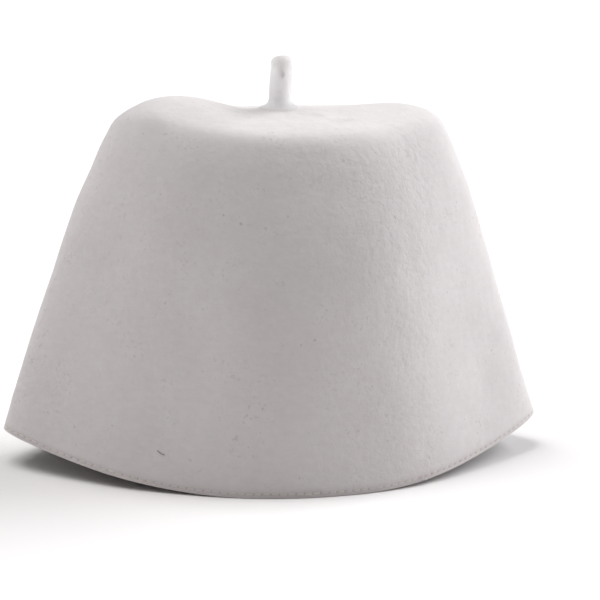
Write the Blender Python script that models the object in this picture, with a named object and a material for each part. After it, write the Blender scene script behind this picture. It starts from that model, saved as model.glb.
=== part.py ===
"""A fez of soft wool felt with a short stem on its crown, felted in one piece and set down on its rim.

The cap is hollow and open below. It stands a little flattened from front to back, as a soft fez does on a
table, so its plan is a pinched oval and the two ends of its rim lift clear. Sizes in the tables are in
millimetres, and the mesh is in metres. +X runs along the oval, -Y is the front, and +Z is up.
"""

import math
from collections import namedtuple

import bmesh
import bpy
from mathutils import Vector

MM = 0.001

# Driving sizes
HALF_LENGTH = 119.0
HALF_DEPTH = 67.0
CROWN_HEIGHT = 154.0
STEM_TOP = 176.8
STEM_RADIUS = 4.9
STEM_FOOT_X = -0.2
STEM_TIP_X = 0.4
FELT_THICKNESS = 2.4
EDGE_ROUNDING = 0.4

# Rim ends: a cone of felt that is pressed flat lifts its rim at the two ends
END_LIFT = 15.0
END_LIFT_POWER = 1.9
LEVEL_SHARE = 0.2
LIFT_FADES_AT = 130.0

# Crown swells and wall ridges fade in and out over these heights
SWELL_FROM = 116.0
SWELL_FULL_BY = 146.0
RIDGE_FULL_TO = 100.0
RIDGE_GONE_BY = 146.0

# Mesh density
COLUMNS = 60
OUTER_STEPS = 4
INNER_STEPS = 3

# One horizontal section of the cap: its height, its half length and half depth, how far its sides are
# pinched toward the two ends, and how far its middle stands from the cap's own middle along X.
Section = namedtuple("Section", "height half_length half_depth pinch shift")

WALL = [
    Section(0.0, HALF_LENGTH, HALF_DEPTH, 0.51, 0.0),
    Section(42.0, 108.1, 62.5, 0.60, -0.8),
    Section(84.0, 96.2, 60.0, 0.55, -0.8),
    Section(111.0, 87.9, 54.0, 0.40, -0.8),
    Section(127.0, 81.5, 48.3, 0.30, -0.7),
    Section(140.0, 75.0, 43.0, 0.29, -0.8),
]
CROWN = [
    Section(147.8, 67.7, 37.0, 0.33, -0.8),
    Section(150.8, 46.5, 26.0, 0.04, -0.8),
    Section(152.8, 27.2, 14.6, 0.0, 0.0),
    Section(CROWN_HEIGHT, 11.0, 9.5, 0.0, STEM_FOOT_X),
]
STEM = [
    Section(CROWN_HEIGHT + 1.0, 8.2, 7.8, 0.0, STEM_FOOT_X),
    Section(CROWN_HEIGHT + 2.2, 6.1, 6.0, 0.0, STEM_FOOT_X),
    Section(CROWN_HEIGHT + 4.0, STEM_RADIUS + 0.1, STEM_RADIUS + 0.1, 0.0, STEM_FOOT_X),
    Section(CROWN_HEIGHT + 8.0, STEM_RADIUS, STEM_RADIUS, 0.0, STEM_FOOT_X),
    Section(STEM_TOP - 5.2, STEM_RADIUS, STEM_RADIUS, 0.0, STEM_TIP_X),
    Section(STEM_TOP - 2.4, STEM_RADIUS - 0.1, STEM_RADIUS - 0.1, 0.0, STEM_TIP_X),
    Section(STEM_TOP - 0.9, 4.0, 4.0, 0.0, STEM_TIP_X),
    Section(STEM_TOP - 0.1, 2.2, 2.2, 0.0, STEM_TIP_X),
]

# A swell (or, with a height below zero, a dip) of the crown, as a soft hump around one place
Swell = namedtuple("Swell", "name x y spread_x spread_y height")
SWELLS = [
    Swell("left mound", -47.8, 5.0, 25.3, 27.0, 7.9),
    Swell("right mound", 61.0, 12.0, 25.7, 27.0, 4.8),
    Swell("dip left of the stem", -14.8, 4.0, 11.8, 27.0, -1.2),
    Swell("dip right of the stem", 21.0, -6.0, 8.0, 9.0, -0.8),
]

# A soft ridge down the front wall. Its place is a share of the half length from the middle.
Ridge = namedtuple("Ridge", "name place spread push")
RIDGES = [
    Ridge("front right corner", 0.46, 0.26, 2.2),
    Ridge("front left corner", -0.63, 0.16, 1.3),
]


def ease(value, start, end):
    """Run smoothly from 0 at start to 1 at end."""
    share = min(max((value - start) / (end - start), 0.0), 1.0)
    return share * share * (3.0 - 2.0 * share)


def spline(before, first, second, after, share):
    """Read a smooth curve between first and second, a share of the way along."""
    bend = 2.0 * before - 5.0 * first + 4.0 * second - after
    twist = -before + 3.0 * first - 3.0 * second + after
    return 0.5 * (2.0 * first + (second - before) * share + bend * share**2 + twist * share**3)


def section_at(sections, level):
    """Blend the table into one section at a level, where level 2.5 is halfway from row 2 to row 3."""
    last = len(sections) - 1
    row = min(int(level), last - 1)
    rows = (max(row - 1, 0), row, row + 1, min(row + 2, last))
    four = [sections[index] for index in rows]
    return Section(*(spline(*values, level - row) for values in zip(*four)))


def end_lift(along, height):
    """Height that the felt gains toward the two ends of the rim."""
    reach = max(abs(along) - LEVEL_SHARE, 0.0) / (1.0 - LEVEL_SHARE)
    fade = max(1.0 - height / LIFT_FADES_AT, 0.0) ** 1.5
    return END_LIFT * reach**END_LIFT_POWER * fade


def crown_swell(x, y, height):
    """Height that the mounds and dips of the crown add at one place."""
    total = 0.0
    for swell in SWELLS:
        away = ((x - swell.x) / swell.spread_x) ** 2 + ((y - swell.y) / swell.spread_y) ** 2
        total += swell.height * math.exp(-away)
    return total * ease(height, SWELL_FROM, SWELL_FULL_BY)


def wall_push(along, height):
    """Distance that the front wall's soft ridges stand out."""
    total = sum(ridge.push * math.exp(-(((along - ridge.place) / ridge.spread) ** 2)) for ridge in RIDGES)
    return total * (1.0 - ease(height, RIDGE_FULL_TO, RIDGE_GONE_BY))


def skin_point(sections, level, angle):
    """Point of the cap's outer skin, in millimetres, at a level and an angle round the oval."""
    section = section_at(sections, level)
    along = math.cos(angle)
    across = math.sin(angle)
    x = section.shift + section.half_length * along
    y = section.half_depth * across * (1.0 - section.pinch * along * along)
    if across < 0.0:
        outward = Vector((section.half_depth * along, section.half_length * across, 0.0)).normalized()
        x += outward.x * wall_push(along, section.height)
        y += outward.y * wall_push(along, section.height)
    z = section.height + end_lift(along, section.height) + crown_swell(x, y, section.height)
    return Vector((x, y, z))


def skin_normal(sections, level, angle):
    """Direction that points out of the felt at a level and an angle."""
    last = len(sections) - 1
    small = 0.05
    low = skin_point(sections, max(level - small, 0.0), angle)
    high = skin_point(sections, min(level + small, last), angle)
    left = skin_point(sections, level, angle - small)
    right = skin_point(sections, level, angle + small)
    return (right - left).cross(high - low).normalized()


def angles():
    return [math.tau * column / COLUMNS for column in range(COLUMNS)]


def levels(first, last, steps):
    """Levels from first to last with a number of steps to each table row."""
    count = (last - first) * steps
    return [first + (last - first) * index / count for index in range(count + 1)]


def outer_rings():
    """Rings of the outer skin, from the rim up over the crown to the stem's top."""
    sections = WALL + CROWN + STEM
    crown_top = len(WALL + CROWN) - 1
    heights = levels(0, crown_top, OUTER_STEPS) + levels(crown_top, len(sections) - 1, 1)[1:]
    rings = [[skin_point(sections, level, angle) for angle in angles()] for level in heights]
    for point in rings[0]:
        point.z += EDGE_ROUNDING
    return rings


def inner_rings():
    """Rings of the inner skin, one felt thickness inside the outer one and without the stem."""
    sections = WALL + CROWN
    rings = []
    for level in levels(0, len(sections) - 1, INNER_STEPS):
        ring = []
        for angle in angles():
            inward = skin_normal(sections, level, angle) * -FELT_THICKNESS
            ring.append(skin_point(sections, level, angle) + inward)
        rings.append(ring)
    for point, angle in zip(rings[0], angles()):
        point.z = skin_point(sections, 0.0, angle).z + EDGE_ROUNDING
    return rings


def edge_rings(outer, inner):
    """The cut edge of the felt under the rim: flat below, with its two corners a little rounded."""
    near_outer = []
    near_inner = []
    for outside, inside in zip(outer, inner):
        step = (inside - outside).normalized() * EDGE_ROUNDING
        drop = Vector((0.0, 0.0, -EDGE_ROUNDING))
        near_outer.append(outside + step + drop)
        near_inner.append(inside - step + drop)
    return [near_inner, near_outer]


def add_ring(mesh, points):
    return [mesh.verts.new(point * MM) for point in points]


def join_rings(mesh, lower, upper):
    """Fill the band between two rings with quads."""
    for column in range(COLUMNS):
        following = (column + 1) % COLUMNS
        mesh.faces.new((lower[column], lower[following], upper[following], upper[column]))


def close_ring(mesh, ring, height, flip):
    """Close a ring with triangles that meet in one point above its middle."""
    middle = sum((corner.co for corner in ring), Vector()) / COLUMNS
    middle.z = height * MM
    tip = mesh.verts.new(middle)
    for column in range(COLUMNS):
        pair = (ring[column], ring[(column + 1) % COLUMNS])
        if flip:
            pair = pair[::-1]
        mesh.faces.new((pair[0], pair[1], tip))


def felt_material():
    """Light grey wool felt, quite matt."""
    material = bpy.data.materials.new("light_grey_wool_felt")
    material.use_nodes = True
    shader = material.node_tree.nodes["Principled BSDF"]
    shader.inputs["Base Color"].default_value = (0.64, 0.61, 0.60, 1.0)
    shader.inputs["Roughness"].default_value = 0.95
    shader.inputs["Metallic"].default_value = 0.0
    return material


def make_felt_cap():
    """The whole cap as one closed body: wall, crown, stem and the hollow for the head."""
    outer = outer_rings()
    inner = inner_rings()
    shell = inner[::-1] + edge_rings(outer[0], inner[0]) + outer
    mesh = bmesh.new()
    rings = [add_ring(mesh, ring) for ring in shell]
    for lower, upper in zip(rings, rings[1:]):
        join_rings(mesh, lower, upper)
    inner_top = sum(point.z for point in inner[-1]) / COLUMNS
    close_ring(mesh, rings[0], inner_top + 0.1, flip=True)
    close_ring(mesh, rings[-1], outer[-1][0].z + 0.1, flip=False)
    bmesh.ops.recalc_face_normals(mesh, faces=mesh.faces)
    for face in mesh.faces:
        face.smooth = True
    data = bpy.data.meshes.new("felt_cap")
    mesh.to_mesh(data)
    mesh.free()
    data.materials.append(felt_material())
    cap = bpy.data.objects.new("felt_cap", data)
    bpy.context.scene.collection.objects.link(cap)
    return cap


def main():
    for old in list(bpy.data.objects):
        bpy.data.objects.remove(old)
    make_felt_cap()


main()
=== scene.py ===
"""The looks of a soft felt fez with a felted stem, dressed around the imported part.

Everything is in metres in the part's own frame: +X runs along the flattened cap, -Y is the front, +Z is up
and the rim rests on Z = 0. Form tables are in millimetres, as in the part's source, and are scaled to the
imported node's box.
"""

import logging
import math
from dataclasses import dataclass, field
from enum import Enum
from typing import TypeAlias

import bpy
import numpy as np
from mathutils import Matrix, Vector, noise


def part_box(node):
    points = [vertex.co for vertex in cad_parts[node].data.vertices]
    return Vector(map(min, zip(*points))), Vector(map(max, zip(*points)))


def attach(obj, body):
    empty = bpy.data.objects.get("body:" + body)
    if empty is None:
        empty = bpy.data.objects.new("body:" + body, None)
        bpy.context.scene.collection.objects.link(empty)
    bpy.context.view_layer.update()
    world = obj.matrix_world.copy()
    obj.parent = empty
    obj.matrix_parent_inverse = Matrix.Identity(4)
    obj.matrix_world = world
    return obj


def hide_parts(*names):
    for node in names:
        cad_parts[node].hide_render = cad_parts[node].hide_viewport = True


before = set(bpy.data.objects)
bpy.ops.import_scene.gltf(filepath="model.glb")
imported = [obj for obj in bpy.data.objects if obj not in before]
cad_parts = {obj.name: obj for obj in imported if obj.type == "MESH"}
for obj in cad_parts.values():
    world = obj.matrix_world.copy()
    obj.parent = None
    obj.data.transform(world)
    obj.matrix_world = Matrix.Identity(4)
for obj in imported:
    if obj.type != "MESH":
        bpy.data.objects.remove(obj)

LOG = logging.getLogger("fez")
MM = 0.001
CAP_NODE = "felt_cap"
CAP_BODY = "root"
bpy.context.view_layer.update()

Faces: TypeAlias = list[tuple[int, ...]]
Tree: TypeAlias = bpy.types.NodeTree
Node: TypeAlias = bpy.types.Node
Socket: TypeAlias = bpy.types.NodeSocket


class Side(Enum):
    """The two faces of the felt wall."""

    OUTSIDE = 1
    INSIDE = -1


class Kind(Enum):
    """The kinds of shader node that the finishes use, with Blender's names for them."""

    PLACE = "ShaderNodeTexCoord"
    MARK = "ShaderNodeAttribute"
    NOISE = "ShaderNodeTexNoise"
    CELLS = "ShaderNodeTexVoronoi"
    MIX = "ShaderNodeMix"
    RANGE = "ShaderNodeMapRange"
    MATH = "ShaderNodeMath"
    VECTOR = "ShaderNodeVectorMath"
    COLOUR_PARTS = "ShaderNodeSeparateColor"
    PLACE_PARTS = "ShaderNodeSeparateXYZ"
    BUMP = "ShaderNodeBump"


@dataclass(frozen=True)
class Section:
    """One level cut through the cap, in millimetres.

    Args:
        height: height above the table.
        half_length: half of the oval's length, along X.
        half_depth: half of the oval's depth, along Y.
        pinch: how far the sides are pinched toward the two ends.
        shift: how far the oval's middle stands from the cap's middle along X.
    """

    height: float
    half_length: float
    half_depth: float
    pinch: float
    shift: float

    def row(self) -> tuple[float, ...]:
        """Give the section as one row of numbers."""
        return (self.height, self.half_length, self.half_depth, self.pinch, self.shift)


@dataclass(frozen=True)
class Swell:
    """A soft mound of the crown, or a dip where its height is below zero, in millimetres.

    Args:
        x: its middle along the cap.
        y: its middle from front to back.
        spread_x: how far it reaches along X.
        spread_y: how far it reaches along Y.
        height: how far it stands up.
    """

    x: float
    y: float
    spread_x: float
    spread_y: float
    height: float


@dataclass(frozen=True)
class Ridge:
    """A soft ridge down the front wall.

    Args:
        place: where it runs, as a share of the half length from the middle.
        spread: how far it reaches to each side, as a share of the half length.
        push: how far it stands out, in millimetres.
    """

    place: float
    spread: float
    push: float


HALF_LENGTH = 119.0
HALF_DEPTH = 67.0
CROWN_HEIGHT = 154.0
STEM_TOP = 176.8
STEM_RADIUS = 4.9
STEM_FOOT_X = -0.2
STEM_TIP_X = 0.4
FELT_THICKNESS = 2.4

WALL = (
    Section(0.0, HALF_LENGTH, HALF_DEPTH, 0.51, 0.0),
    Section(42.0, 108.1, 62.5, 0.60, -0.8),
    Section(84.0, 96.2, 60.0, 0.55, -0.8),
    Section(111.0, 87.9, 54.0, 0.40, -0.8),
    Section(127.0, 81.5, 48.3, 0.30, -0.7),
    Section(140.0, 75.0, 43.0, 0.29, -0.8),
)
CROWN = (
    Section(147.8, 67.7, 37.0, 0.33, -0.8),
    Section(150.8, 46.5, 26.0, 0.04, -0.8),
    Section(152.8, 27.2, 14.6, 0.0, 0.0),
    Section(CROWN_HEIGHT, 11.0, 9.5, 0.0, STEM_FOOT_X),
)
STEM = (
    Section(CROWN_HEIGHT + 1.0, 8.2, 7.8, 0.0, STEM_FOOT_X),
    Section(CROWN_HEIGHT + 2.2, 6.1, 6.0, 0.0, STEM_FOOT_X),
    Section(CROWN_HEIGHT + 4.0, STEM_RADIUS + 0.1, STEM_RADIUS + 0.1, 0.0, STEM_FOOT_X),
    Section(CROWN_HEIGHT + 8.0, STEM_RADIUS, STEM_RADIUS, 0.0, STEM_FOOT_X),
    Section(STEM_TOP - 5.2, STEM_RADIUS, STEM_RADIUS, 0.0, STEM_TIP_X),
    Section(STEM_TOP - 2.4, STEM_RADIUS - 0.1, STEM_RADIUS - 0.1, 0.0, STEM_TIP_X),
    Section(STEM_TOP - 0.9, 4.0, 4.0, 0.0, STEM_TIP_X),
    Section(STEM_TOP - 0.1, 2.2, 2.2, 0.0, STEM_TIP_X),
)
# Left mound, right mound, the dip left of the stem and the dip right of it
SWELLS = (
    Swell(-47.8, 5.0, 25.3, 27.0, 7.9),
    Swell(61.0, 12.0, 25.7, 27.0, 4.8),
    Swell(-14.8, 4.0, 11.8, 27.0, -1.2),
    Swell(21.0, -6.0, 8.0, 9.0, -0.8),
)
# Front right corner and front left corner
RIDGES = (
    Ridge(0.46, 0.26, 2.2),
    Ridge(-0.63, 0.16, 1.3),
)

# How many places are read along a table of sections, and once round the rim
TABLE_READINGS = 4001
RIM_READINGS = 8001

# The least length that a direction is divided by
NEXT_TO_NOTHING = 1e-9


def ease(value: np.ndarray, start: float, end: float) -> np.ndarray:
    """Run smoothly from 0 at start to 1 at end.

    Args:
        value: places to read.
        start: where the run begins.
        end: where it is complete.

    Returns:
        The eased share at each place.
    """
    share = np.clip((value - start) / (end - start), 0.0, 1.0)
    return share * share * (3.0 - 2.0 * share)


@dataclass(frozen=True)
class CapForm:
    """The main form of the cap, read at any level and angle, in millimetres.

    Args:
        end_lift: how far the two ends of the rim stand off the table.
        end_lift_power: how quickly the lift grows toward an end.
        level_share: share of the half length in the middle that stays level.
        lift_fades_at: height at which no lift is left.
        lift_fade_power: how quickly the lift goes on the way up.
        swell_band: heights between which the crown's mounds come in.
        ridge_band: heights between which the wall's ridges go out.
        near: step to each side over which a direction is read, in levels and in radians.
    """

    end_lift: float = 15.0
    end_lift_power: float = 1.9
    level_share: float = 0.2
    lift_fades_at: float = 130.0
    lift_fade_power: float = 1.5
    swell_band: tuple[float, float] = (116.0, 146.0)
    ridge_band: tuple[float, float] = (100.0, 146.0)
    near: float = 0.02

    def sections_at(self, table: tuple[Section, ...], levels: np.ndarray) -> np.ndarray:
        """Blend a table of sections with a smooth curve through its rows.

        Args:
            table: the sections, lowest first.
            levels: places in the table, where 2.5 is halfway from row 2 to row 3.

        Returns:
            One row of section values for each level.
        """
        rows = np.array([section.row() for section in table])
        last = len(rows) - 1
        first = np.clip(levels.astype(int), 0, last - 1)
        share = (levels - first)[:, None]
        before = rows[np.clip(first - 1, 0, last)]
        here = rows[first]
        there = rows[first + 1]
        after = rows[np.clip(first + 2, 0, last)]
        bend = 2.0 * before - 5.0 * here + 4.0 * there - after
        twist = -before + 3.0 * here - 3.0 * there + after
        return 0.5 * (2.0 * here + (there - before) * share + bend * share**2 + twist * share**3)

    def skin(self, table: tuple[Section, ...], levels: np.ndarray, angles: np.ndarray) -> np.ndarray:
        """Points of the outer skin.

        Args:
            table: the sections, lowest first.
            levels: places in the table, one for each ring.
            angles: angles round the oval, one for each column, or one row of them for each ring.

        Returns:
            Points as rings by columns by XYZ, in millimetres.
        """
        cuts = self.sections_at(table, levels)[:, :, None]
        height, half_length, half_depth, pinch, shift = (cuts[:, index] for index in range(5))
        along = np.cos(np.atleast_2d(angles))
        across = np.sin(np.atleast_2d(angles))
        x = shift + half_length * along
        y = half_depth * across * (1.0 - pinch * along**2)
        out_x = half_depth * along
        out_y = half_length * across
        push = self.wall_push(along, height) * (across < 0.0) / np.hypot(out_x, out_y)
        x = x + out_x * push
        y = y + out_y * push
        z = height + self.rim_lift(along, height) + self.crown_swell(x, y, height)
        return np.stack([x, y, z], axis=-1)

    def rim_lift(self, along: np.ndarray, height: np.ndarray) -> np.ndarray:
        """Height that the felt gains toward the two ends of the rim.

        Args:
            along: places as shares of the half length from the middle.
            height: heights above the table.

        Returns:
            The lift at each place, in millimetres.
        """
        reach = np.maximum(np.abs(along) - self.level_share, 0.0) / (1.0 - self.level_share)
        fade = np.maximum(1.0 - height / self.lift_fades_at, 0.0) ** self.lift_fade_power
        return self.end_lift * reach**self.end_lift_power * fade

    def crown_swell(self, x: np.ndarray, y: np.ndarray, height: np.ndarray) -> np.ndarray:
        """Height that the mounds and dips of the crown add.

        Args:
            x: places along the cap.
            y: places from front to back.
            height: heights above the table.

        Returns:
            The height gained at each place, in millimetres.
        """
        total = np.zeros(np.broadcast(x, y).shape)
        for swell in SWELLS:
            away = ((x - swell.x) / swell.spread_x) ** 2 + ((y - swell.y) / swell.spread_y) ** 2
            total += swell.height * np.exp(-away)
        return total * ease(height, *self.swell_band)

    def wall_push(self, along: np.ndarray, height: np.ndarray) -> np.ndarray:
        """Distance that the front wall's soft ridges stand out.

        Args:
            along: places as shares of the half length from the middle.
            height: heights above the table.

        Returns:
            The push at each place, in millimetres.
        """
        total = np.zeros(along.shape)
        for ridge in RIDGES:
            total = total + ridge.push * np.exp(-(((along - ridge.place) / ridge.spread) ** 2))
        return total * (1.0 - ease(height, *self.ridge_band))

    def normals(self, table: tuple[Section, ...], levels: np.ndarray, angles: np.ndarray) -> np.ndarray:
        """Directions that point out of the felt.

        Args:
            table: the sections, lowest first.
            levels: places in the table, one for each ring.
            angles: angles round the oval, one for each column.

        Returns:
            Unit vectors as rings by columns by XYZ.
        """
        top = len(table) - 1.0
        low = self.skin(table, np.maximum(levels - self.near, 0.0), angles)
        high = self.skin(table, np.minimum(levels + self.near, top), angles)
        left = self.skin(table, levels, angles - self.near)
        right = self.skin(table, levels, angles + self.near)
        out = np.cross(right - left, high - low)
        return out / np.maximum(np.linalg.norm(out, axis=-1, keepdims=True), NEXT_TO_NOTHING)

    def on_wall(self, heights: np.ndarray, angles: np.ndarray, side: Side) -> tuple[np.ndarray, np.ndarray]:
        """Read single places of the wall.

        Args:
            heights: height of each place above the cut edge, in millimetres.
            angles: angle of each place.
            side: which face of the felt.

        Returns:
            The places, and the direction off the felt at each.
        """
        levels = self.levels_at(WALL, heights)
        skin = self.skin(WALL, levels, angles[:, None])[:, 0]
        out = self.normals(WALL, levels, angles[:, None])[:, 0]
        if side is Side.INSIDE:
            return skin - out * FELT_THICKNESS, -out
        return skin, out

    def levels_at(self, table: tuple[Section, ...], heights: np.ndarray) -> np.ndarray:
        """Places in the table that lie at given heights.

        Args:
            table: the sections, lowest first.
            heights: section heights, in millimetres.

        Returns:
            One level for each height.
        """
        fine = np.linspace(0.0, len(table) - 1.0, TABLE_READINGS)
        return np.interp(heights, self.sections_at(table, fine)[:, 0], fine)

    def rim_run(self) -> tuple[np.ndarray, np.ndarray]:
        """Follow the rim's outer edge once round.

        Returns:
            Angles close together, and the length gone at each, in millimetres.
        """
        angles = np.linspace(0.0, math.tau, RIM_READINGS)
        rim = self.skin(WALL, np.array([0.0]), angles)[0]
        steps = np.linalg.norm(np.diff(rim, axis=0), axis=1)
        return angles, np.concatenate([[0.0], np.cumsum(steps)])

    def even_angles(self, count: int) -> np.ndarray:
        """Angles that share the rim out into equal lengths.

        Args:
            count: number of shares.

        Returns:
            The angle at which each share starts.
        """
        angles, gone = self.rim_run()
        return np.interp(np.arange(count) / count * gone[-1], gone, angles)

    def girth(self) -> float:
        """Length once round the rim's outer edge, in millimetres."""
        return float(self.rim_run()[1][-1])


# A packed box is taken to have the told size when it differs by less than this share
SAME_SIZE = 0.002


def to_packed_box(points: np.ndarray) -> np.ndarray:
    """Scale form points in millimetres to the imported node's box in metres.

    Args:
        points: any array whose last axis is XYZ.

    Returns:
        The points in the part's frame, in metres.
    """
    low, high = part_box(CAP_NODE)
    size = np.array(high - low)
    told = np.array([2.0 * HALF_LENGTH, 2.0 * HALF_DEPTH, STEM_TOP])
    fit = size / (told * MM)
    fit[np.abs(fit - 1.0) < SAME_SIZE] = 1.0
    return points * MM * fit


# Blender's fractal noise: how fast its layers fade, how much finer each one is, and how many there are
NOISE_FADE = 1.0
NOISE_STEP = 2.0
NOISE_LAYERS = 2


@dataclass(frozen=True)
class Unevenness:
    """One layer of the soft unevenness that fulling leaves in felt.

    Args:
        depth: how far it stands off the even skin, in millimetres.
        grain: size of one hump, in millimetres.
        seed: offset that picks another pattern.
    """

    depth: float
    grain: float
    seed: float

    def at(self, points: np.ndarray) -> np.ndarray:
        """Read the layer.

        Args:
            points: places in millimetres, XYZ on the last axis.

        Returns:
            How far the felt stands off at each place, in millimetres.
        """
        flat = points.reshape(-1, 3) / self.grain + self.seed
        values = [noise.fractal(Vector(place), NOISE_FADE, NOISE_STEP, NOISE_LAYERS) for place in flat]
        return self.depth * np.array(values).reshape(points.shape[:-1])


FELT_UNEVENNESS = (
    Unevenness(0.34, 34.0, 3.1),
    Unevenness(0.10, 8.5, 7.7),
    Unevenness(0.04, 4.2, 11.3),
)


@dataclass(frozen=True)
class HandMark:
    """A place where handling has pushed the soft felt a little out, or in where push is below zero.

    Args:
        middle: its middle, XYZ in millimetres.
        spread: how far it reaches along X, Y and Z, in millimetres.
        push: how far the felt stands out there, in millimetres.
    """

    middle: tuple[float, float, float]
    spread: tuple[float, float, float]
    push: float

    def at(self, points: np.ndarray) -> np.ndarray:
        """How far the mark pushes the felt at each point, in millimetres."""
        away = (points - np.array(self.middle)) / np.array(self.spread)
        return self.push * np.exp(-(away**2).sum(axis=-1))


# The front's right corner near the shoulder, the crown's front edge, the tip of the left mound, the right
# corner low down, the wall beyond it, and the corner's middle
HAND_MARKS = (
    HandMark((27.0, -35.0, 143.0), (19.0, 19.0, 15.0), 0.7),
    HandMark((-6.0, -36.0, 149.5), (34.0, 14.0, 5.5), 0.6),
    HandMark((-57.5, -12.9, 153.1), (7.5, 7.5, 7.5), 1.0),
    HandMark((52.0, -50.0, 36.0), (24.0, 24.0, 30.0), 1.0),
    HandMark((88.0, -22.0, 38.0), (13.0, 13.0, 18.0), -0.6),
    HandMark((48.5, -44.0, 96.0), (6.0, 6.0, 20.0), -0.3),
)


@dataclass(frozen=True)
class Stitching:
    """Where the one row of machine stitches lies along the rim, in millimetres.

    Args:
        count: stitches once round.
        row_height: height of the row above the cut edge.
        hole: radius over which a needle hole pulls the felt in.
        shallowest: how deep the shallowest hole is, as a share of the deepest.
        seed: number that picks the holes' depths.
    """

    count: int = 160
    row_height: float = 1.9
    hole: float = 0.38
    shallowest: float = 0.4
    seed: int = 5

    def hole_pull(self, shares: np.ndarray, heights: np.ndarray, pitch: float) -> np.ndarray:
        """How strongly the needle holes pull the felt in, from 0 to 1.

        Args:
            shares: place of each column round the rim, from 0 to 1.
            heights: height of each ring above the cut edge.
            pitch: length of one stitch.

        Returns:
            Pull as rings by columns.
        """
        depth = np.random.default_rng(self.seed).uniform(self.shallowest, 1.0, self.count)
        number = np.rint(shares * self.count).astype(int) % self.count
        nearest = np.abs((shares * self.count + 0.5) % 1.0 - 0.5) * pitch
        beside = (nearest / self.hole) ** 2
        above = ((heights - self.row_height) / self.hole) ** 2
        return np.exp(-(above[:, None] + beside[None, :])) * depth[number]


STITCHING = Stitching()
COLUMNS_PER_STITCH = 8


@dataclass(frozen=True)
class Ring:
    """One closed ring of mesh points, with what the finish reads at each point.

    Args:
        points: the points, in millimetres.
        needle_hole: how much a needle hole pulls there, from 0 to 1; the finish paints shade by it.
        pressed_edge: how much the stitches press there, from 0 to 1.
        stem_share: 1 on the stem, 0 on the cap.
    """

    points: np.ndarray
    needle_hole: np.ndarray
    pressed_edge: np.ndarray
    stem_share: np.ndarray


def ring_faces(lower: int, lower_count: int, upper: int, upper_count: int) -> Faces:
    """Fill the band between two rings, of which one may have twice the other's columns.

    Args:
        lower: index of the lower ring's first point.
        lower_count: columns of the lower ring.
        upper: index of the upper ring's first point.
        upper_count: columns of the upper ring.

    Returns:
        The faces as point indices, facing out when the rings run up the outside.
    """
    faces: Faces = []
    for column in range(min(lower_count, upper_count)):
        if lower_count == upper_count:
            after = (column + 1) % lower_count
            faces.append((lower + column, lower + after, upper + after, upper + column))
        elif lower_count > upper_count:
            first, middle, last = (lower + (2 * column + step) % lower_count for step in range(3))
            here, there = upper + column, upper + (column + 1) % upper_count
            faces += [(first, middle, here), (middle, there, here), (middle, last, there)]
        else:
            first, middle, last = (upper + (2 * column + step) % upper_count for step in range(3))
            here, there = lower + column, lower + (column + 1) % lower_count
            faces += [(here, middle, first), (here, there, middle), (there, last, middle)]
    return faces


def srgb(code: str) -> tuple[float, float, float, float]:
    """Turn an sRGB hex colour to the linear colour that a shader takes.

    Args:
        code: six hex digits after a hash.

    Returns:
        Linear red, green and blue, and alpha 1.
    """
    values = [int(code[start : start + 2], 16) / 255.0 for start in (1, 3, 5)]
    linear = [v / 12.92 if v <= 0.04045 else ((v + 0.055) / 1.055) ** 2.4 for v in values]
    return (linear[0], linear[1], linear[2], 1.0)


# A mix's sockets go by number, since those for values and for colours share their names: its share, then
# the two values, the two colours, the mixed value and the mixed colour
SHARE = 0
FIRST_VALUE = 2
SECOND_VALUE = 3
UNDER = 6
OVER = 7
MIXED_VALUE = 0
MIXED = 2

# Settings that several nodes share
VALUES = {"data_type": "FLOAT"}
COLOURS = {"data_type": "RGBA"}
TIMES = {"operation": "MULTIPLY"}
TIMES_PLUS = {"operation": "MULTIPLY_ADD"}
SOFT_ENDS = {"interpolation_type": "SMOOTHSTEP"}


def add_node(tree: Tree, kind: Kind, settings: dict[str, object], inputs: dict[object, object]) -> Node:
    """Add one shader node with its settings and its links.

    Args:
        tree: the material's or world's node tree.
        kind: the kind of node.
        settings: node properties by name.
        inputs: input sockets by name or number, each with a value or the output socket that feeds it.

    Returns:
        The new node.
    """
    node = tree.nodes.new(kind.value)
    for name, value in settings.items():
        setattr(node, name, value)
    for name, value in inputs.items():
        if isinstance(value, bpy.types.NodeSocket):
            tree.links.new(value, node.inputs[name])
        else:
            node.inputs[name].default_value = value
    return node


def new_material(name: str) -> tuple[bpy.types.Material, Tree, Node]:
    """Start a material with only its Principled shader and output.

    Args:
        name: the material's name.

    Returns:
        The material, its node tree and its Principled shader.
    """
    material = bpy.data.materials.new(name)
    material.use_nodes = True
    tree = material.node_tree
    return material, tree, tree.nodes["Principled BSDF"]


@dataclass(frozen=True)
class SoilAndShadeSpot:
    """One darker spot of the wool, with its sizes in millimetres; some are soiling and some are painted
    shade.

    Args:
        x: its middle along the cap.
        y: its middle from front to back.
        z: its middle above the table.
        width: how far it reaches to each side.
        tall: how far it reaches up and down.
        strength: how much of the dark colour shows in its middle, from 0 to 1.
    """

    x: float
    y: float
    z: float
    width: float
    tall: float
    strength: float


# A dark fleck and the grey round it, a faint one lower down, a darker top, and painted shade down the right
# side, which faces the key light
STEM_MARKS_AND_SHADE = (
    SoilAndShadeSpot(-0.2, -4.9, 169.6, 1.2, 2.6, 0.36),
    SoilAndShadeSpot(-0.9, -4.9, 171.0, 3.0, 5.2, 0.2),
    SoilAndShadeSpot(-1.6, -4.8, 162.2, 1.8, 1.8, 0.06),
    SoilAndShadeSpot(0.4, 0.0, 178.5, 12.0, 9.0, 0.7),
    # Painted shade down the stem's right side, where the key light falls
    SoilAndShadeSpot(6.0, -1.0, 166.0, 5.6, 24.0, 0.56),
)
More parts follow.
